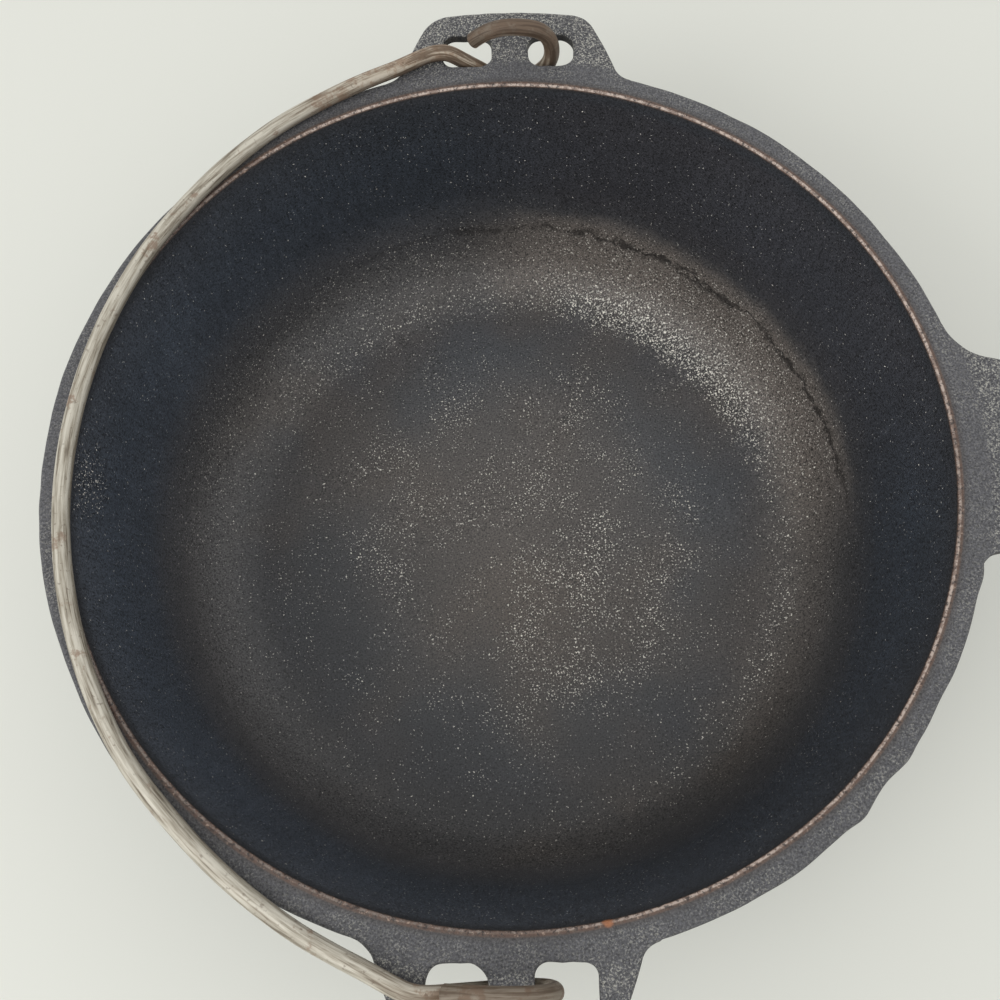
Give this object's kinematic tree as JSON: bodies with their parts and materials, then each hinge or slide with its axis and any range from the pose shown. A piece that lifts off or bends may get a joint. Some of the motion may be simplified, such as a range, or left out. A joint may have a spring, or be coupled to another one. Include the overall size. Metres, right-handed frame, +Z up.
{
  "type": "dutch oven",
  "caption": "Round cast-iron dutch oven, open, with a flat rim flange, pierced bail ears, a solid helper lug and a swinging wire bail.",
  "frame": {"origin": "centre of the flat base, on the pot's axis", "axes": "+Z up along the pot's axis, +Y towards the far bail ear, +X towards the helper lug; the bail lies to -X"},
  "size_m": [0.3028, 0.3202, 0.1114],
  "materials": {
    "iron_inside": "seasoned, dark, half matt, with fine pale specks",
    "iron_rim": "seasoned sand-cast grain, dry, worn to rust along the inside edge",
    "bail_wire": "old drawn steel, dull, with brown rust streaks"
  },
  "bodies": {
    "pot": {"pot_floor": "iron_inside", "pot_corner": "iron_inside", "pot_wall": "iron_inside", "rim_flange": "iron_rim", "far_ear": "iron_rim", "near_ear": "iron_rim", "helper_lug": "iron_rim"},
    "bail": {"bail": "bail_wire"}
  },
  "joints": [
    {"name": "bail_hinge", "type": "hinge", "parent": "pot", "child": "bail", "pos_m": [0, 0, 0.0962], "axis": [0, 1, 0], "range_deg": [0, 170]}
  ]
}
